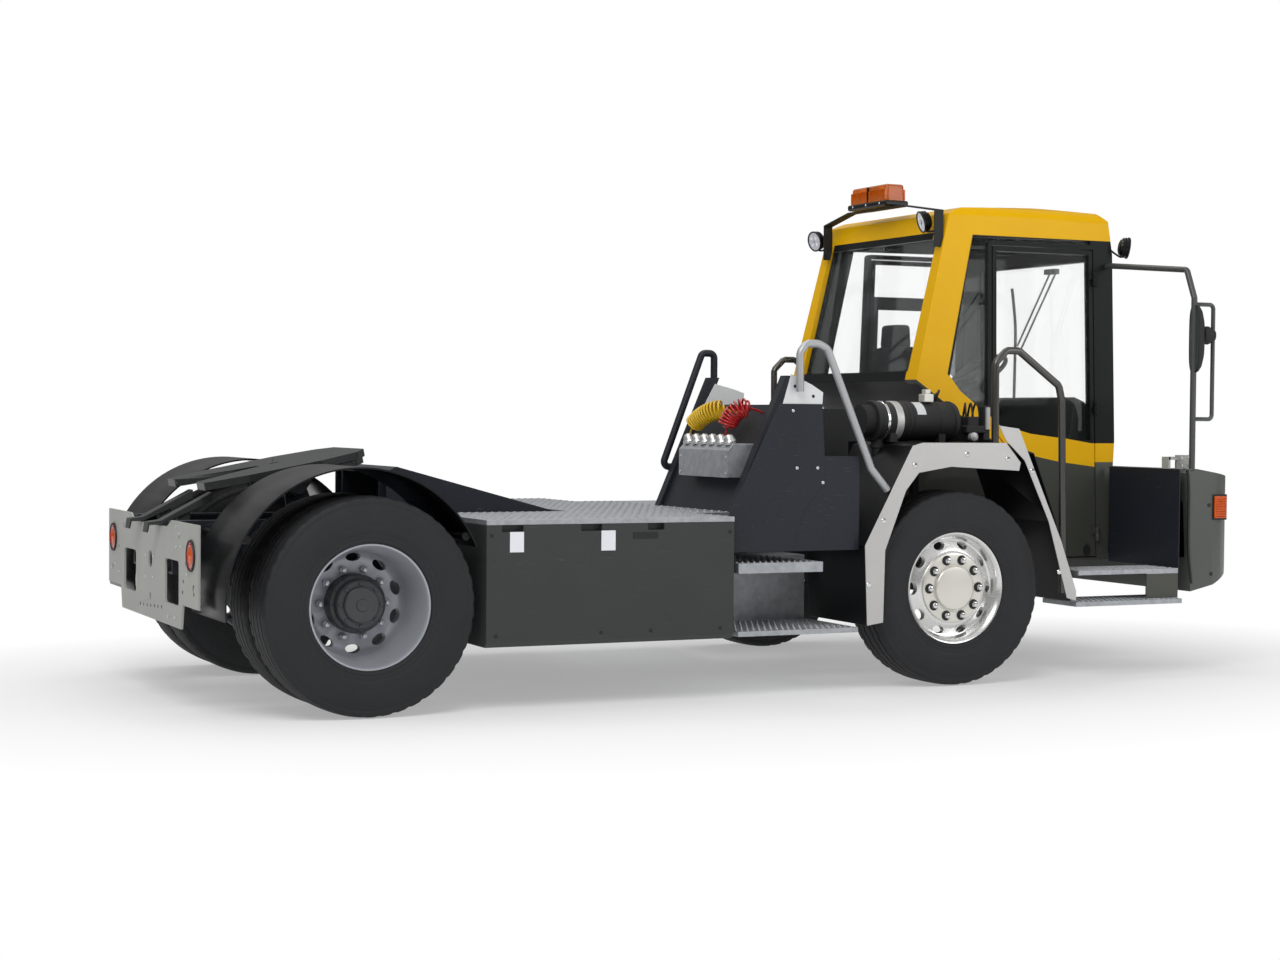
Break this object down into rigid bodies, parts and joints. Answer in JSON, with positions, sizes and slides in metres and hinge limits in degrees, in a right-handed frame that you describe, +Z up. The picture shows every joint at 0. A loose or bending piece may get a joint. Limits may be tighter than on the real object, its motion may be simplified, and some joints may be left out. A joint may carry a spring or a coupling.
{
  "type": "terminal tractor",
  "caption": "Terminal tractor with a one-man yellow cab, lifting boom with fifth wheel, deck, tower with air hoses and twin rear wheels.",
  "frame": {"origin": "on the ground under the middle of the whole length and width", "axes": "+X forward, +Y to the vehicle's left, +Z up"},
  "size_m": [6.02, 2.56, 2.798],
  "materials": {
    "frame_paint": "satin blue-black paint on frame and plates",
    "plate_grey": "pale grey paint, dusty and scratched",
    "grey_paint": "satin olive-anthracite paint",
    "yellow_paint": "gloss golden yellow paint",
    "black_plastic": "moulded black plastic",
    "grey_plastic": "moulded grey plastic",
    "galvanised": "galvanised steel tread",
    "stainless": "brushed stainless steel",
    "tube_silver": "satin steel tube",
    "cast_dark": "painted castings",
    "greased_steel": "worn greased steel",
    "chrome_rod": "polished ram rod",
    "tyre_rubber": "tyre rubber",
    "rim_bright": "polished wheel",
    "rim_silver": "silver painted wheel",
    "hose_yellow": "yellow curly air hose",
    "hose_red": "red curly air hose",
    "lamp_red": "lamp lens",
    "lamp_clear": "clear lamp lens",
    "lamp_amber": "amber lens",
    "cab_glass": "tinted safety glass",
    "seat_cloth": "dark seat cloth",
    "trim_dark": "grained dark trim"
  },
  "bodies": {
    "chassis": {"chassis_frame": "frame_paint", "rear_plate": "plate_grey", "ramps": "plate_grey", "rear_axle": "cast_dark", "front_axle": "cast_dark", "engine": "cast_dark", "side_boxes": "grey_paint", "steps": "galvanised", "deck": "galvanised", "tower": "frame_paint", "coupling_box": "galvanised", "hose_plates": "stainless", "hose_yellow": "hose_yellow", "hose_red": "hose_red", "body_panels": "frame_paint", "front_fenders": "black_plastic", "fender_trims": "stainless", "rear_fenders": "black_plastic", "handrails": "tube_silver", "front_bumper": "grey_plastic", "tail_lamps": "lamp_red", "head_lamps": "lamp_clear", "mirror_arms": "tube_silver", "mirror_heads": "black_plastic", "air_cleaner": "black_plastic", "beacon_bracket": "black_plastic", "beacon": "lamp_amber", "cab_body": "yellow_paint", "cab_lower": "grey_paint", "cab_glass": "cab_glass", "seat_cushion": "seat_cloth", "seat_back": "seat_cloth", "seat_base": "trim_dark", "dash": "trim_dark"},
    "boom": {"boom": "frame_paint"},
    "fifth_wheel": {"fifth_wheel": "greased_steel"},
    "lift_barrels": {"lift_barrels": "cast_dark"},
    "lift_rods": {"lift_rods": "chrome_rod"},
    "door_right": {"door_right": "yellow_paint", "door_right_glass": "cab_glass"},
    "door_left": {"door_left": "yellow_paint", "door_left_glass": "cab_glass"},
    "steering_wheel": {"steering_wheel": "trim_dark"},
    "knuckle_left": {"knuckle_left": "cast_dark"},
    "knuckle_right": {"knuckle_right": "cast_dark"},
    "wheel_fl": {"rim_fl": "rim_bright", "tyre_fl": "tyre_rubber"},
    "wheel_fr": {"rim_fr": "rim_bright", "tyre_fr": "tyre_rubber"},
    "wheel_rl": {"rim_rl": "rim_silver", "tyre_rl": "tyre_rubber"},
    "wheel_rr": {"rim_rr": "rim_silver", "tyre_rr": "tyre_rubber"}
  },
  "joints": [
    {"name": "steer_left", "type": "hinge", "parent": "chassis", "child": "knuckle_left", "pos_m": [1.11, 0.97, 0.522], "axis": [0, 0, 1], "range_deg": [-35, 35]},
    {"name": "steer_right", "type": "hinge", "parent": "chassis", "child": "knuckle_right", "pos_m": [1.11, -0.97, 0.522], "axis": [0, 0, 1], "range_deg": [-35, 35]},
    {"name": "steering_wheel_turn", "type": "hinge", "parent": "chassis", "child": "steering_wheel", "pos_m": [2.22, 0.3, 1.7], "axis": [-0.5736, 0, 0.8192], "range_deg": [-425, 425]},
    {"name": "roll_front_left", "type": "hinge", "parent": "knuckle_left", "child": "wheel_fl", "pos_m": [1.11, 1.052, 0.522], "axis": [0, 1, 0], "continuous": true},
    {"name": "roll_front_right", "type": "hinge", "parent": "knuckle_right", "child": "wheel_fr", "pos_m": [1.11, -1.052, 0.522], "axis": [0, 1, 0], "continuous": true},
    {"name": "roll_rear_left", "type": "hinge", "parent": "chassis", "child": "wheel_rl", "pos_m": [-2.18, 0.936, 0.522], "axis": [0, 1, 0], "continuous": true},
    {"name": "roll_rear_right", "type": "hinge", "parent": "chassis", "child": "wheel_rr", "pos_m": [-2.18, -0.936, 0.522], "axis": [0, 1, 0], "continuous": true},
    {"name": "door_right_swing", "type": "hinge", "parent": "chassis", "child": "door_right", "pos_m": [2.4785, -0.55669, 1.5], "axis": [0, 0.041, 0.9992], "range_deg": [0, 80]},
    {"name": "door_left_swing", "type": "hinge", "parent": "chassis", "child": "door_left", "pos_m": [2.4785, 0.90669, 1.5], "axis": [0, 0.041, -0.9992], "range_deg": [0, 80]},
    {"name": "boom_lift", "type": "hinge", "parent": "chassis", "child": "boom", "pos_m": [-0.88, 0, 0.8], "axis": [0, 1, 0], "range_deg": [0, 24]},
    {"name": "fifth_wheel_tilt", "type": "hinge", "parent": "boom", "child": "fifth_wheel", "pos_m": [-2.28, 0, 1.064], "axis": [0, 1, 0], "range_deg": [0, 25]},
    {"name": "ram_swing", "type": "hinge", "parent": "chassis", "child": "lift_barrels", "pos_m": [-1.48, 0, 0.47], "axis": [0, 1, 0], "range_deg": [0, 16.15]},
    {"name": "ram_slide", "type": "slide", "parent": "lift_barrels", "child": "lift_rods", "axis": [-0.3104, 0, 0.9506], "range_m": [0, 0.2734]}
  ],
  "couplings": [
    {"joint": "steer_right", "follows": "steer_left", "ratio": 1},
    {"joint": "steering_wheel_turn", "follows": "steer_left", "ratio": 12},
    {"joint": "ram_swing", "follows": "boom_lift", "ratio": 0.6647},
    {"joint": "ram_slide", "follows": "boom_lift", "m_per_rad": 0.64546}
  ]
}
